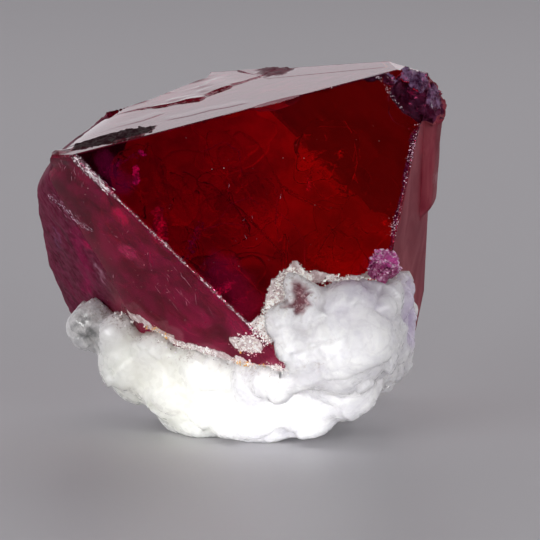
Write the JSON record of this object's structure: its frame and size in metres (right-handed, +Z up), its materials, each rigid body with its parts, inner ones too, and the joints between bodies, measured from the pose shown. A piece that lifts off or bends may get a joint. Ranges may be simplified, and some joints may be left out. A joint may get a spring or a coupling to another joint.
{
  "type": "spinel crystal on calcite matrix",
  "caption": "Leaning red octahedral crystal with chipped corners and worn edges, seated in a lump of white coarse-grained calcite cut flat below, with a small pink grain in front.",
  "frame": {"origin": "on the flat underside of the calcite, below the middle of the crystal", "axes": "+Z up out of the base, the crystal's large front face looks towards -Y, +X to the viewer's right"},
  "size_m": [0.0198, 0.0196, 0.0176],
  "materials": {
    "spinel_red": "clear dark red crystal with mirror-flat growth faces and frosted worn edges",
    "calcite_white": null,
    "spinel_pink": "pink, glassy and rough"
  },
  "bodies": {
    "root": {"spinel_crystal": "spinel_red", "calcite_matrix": "calcite_white", "pink_spinel_grain": "spinel_pink"}
  },
  "joints": []
}
